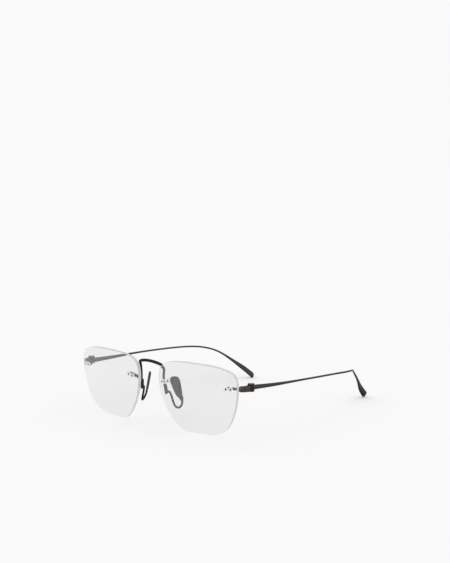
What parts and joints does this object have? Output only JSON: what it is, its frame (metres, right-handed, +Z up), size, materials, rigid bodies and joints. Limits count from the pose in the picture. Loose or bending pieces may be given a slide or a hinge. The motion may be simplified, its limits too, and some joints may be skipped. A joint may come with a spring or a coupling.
{
  "type": "rimless eyeglasses",
  "caption": "Rimless eyeglasses: drilled lenses, wire bridge with looped nose pads, end pieces and temples that fold on three-knuckle screw hinges.",
  "frame": {"origin": "on the table, under the middle of the whole glasses, which stand on the lower edges of the lenses and on the temple tips", "axes": "+X towards the wearer's left, +Y from the lenses back to the temple tips, +Z up"},
  "size_m": [0.1372, 0.1514, 0.0412],
  "materials": {
    "lens": "clear with a faint neutral tint, thin reflecting coat, polished edge",
    "bronze": "satin dark bronze plating on titanium",
    "dark_bronze": "satin near-black bronze plating on titanium",
    "clear_bushing": "clear moulded plastic",
    "screw_steel": "turned stainless steel",
    "nylon": "stamped black washer plastic"
  },
  "bodies": {
    "front": {"lens_left": "lens", "lens_right": "lens", "bridge": "dark_bronze", "inner_mount_left": "bronze", "inner_mount_right": "bronze", "outer_mount_left": "bronze", "outer_mount_right": "bronze", "inner_posts_left": "dark_bronze", "inner_posts_right": "dark_bronze", "outer_posts_left": "dark_bronze", "outer_posts_right": "dark_bronze", "inner_bushing_left": "clear_bushing", "inner_bushing_right": "clear_bushing", "outer_bushing_left": "clear_bushing", "outer_bushing_right": "clear_bushing", "pad_block_left": "bronze", "pad_block_right": "bronze", "pad_arm_left": "bronze", "pad_arm_right": "bronze", "nose_pad_left": "dark_bronze", "nose_pad_right": "dark_bronze", "end_piece_left": "bronze", "end_piece_right": "bronze", "front_hinge_left": "dark_bronze", "front_hinge_right": "dark_bronze", "hinge_washers_left": "nylon", "hinge_washers_right": "nylon", "hinge_screw_left": "screw_steel", "hinge_screw_right": "screw_steel"},
    "temple_left": {"temple_left": "bronze", "temple_hinge_left": "dark_bronze"},
    "temple_right": {"temple_right": "bronze", "temple_hinge_right": "dark_bronze"}
  },
  "joints": [
    {"name": "temple_left_hinge", "type": "hinge", "parent": "front", "child": "temple_left", "pos_m": [0.0648, -0.0592, 0.0292], "axis": [0, 0, 1], "range_deg": [0, 83]},
    {"name": "temple_right_hinge", "type": "hinge", "parent": "front", "child": "temple_right", "pos_m": [-0.0648, -0.0592, 0.0292], "axis": [0, 0, -1], "range_deg": [0, 75]}
  ]
}
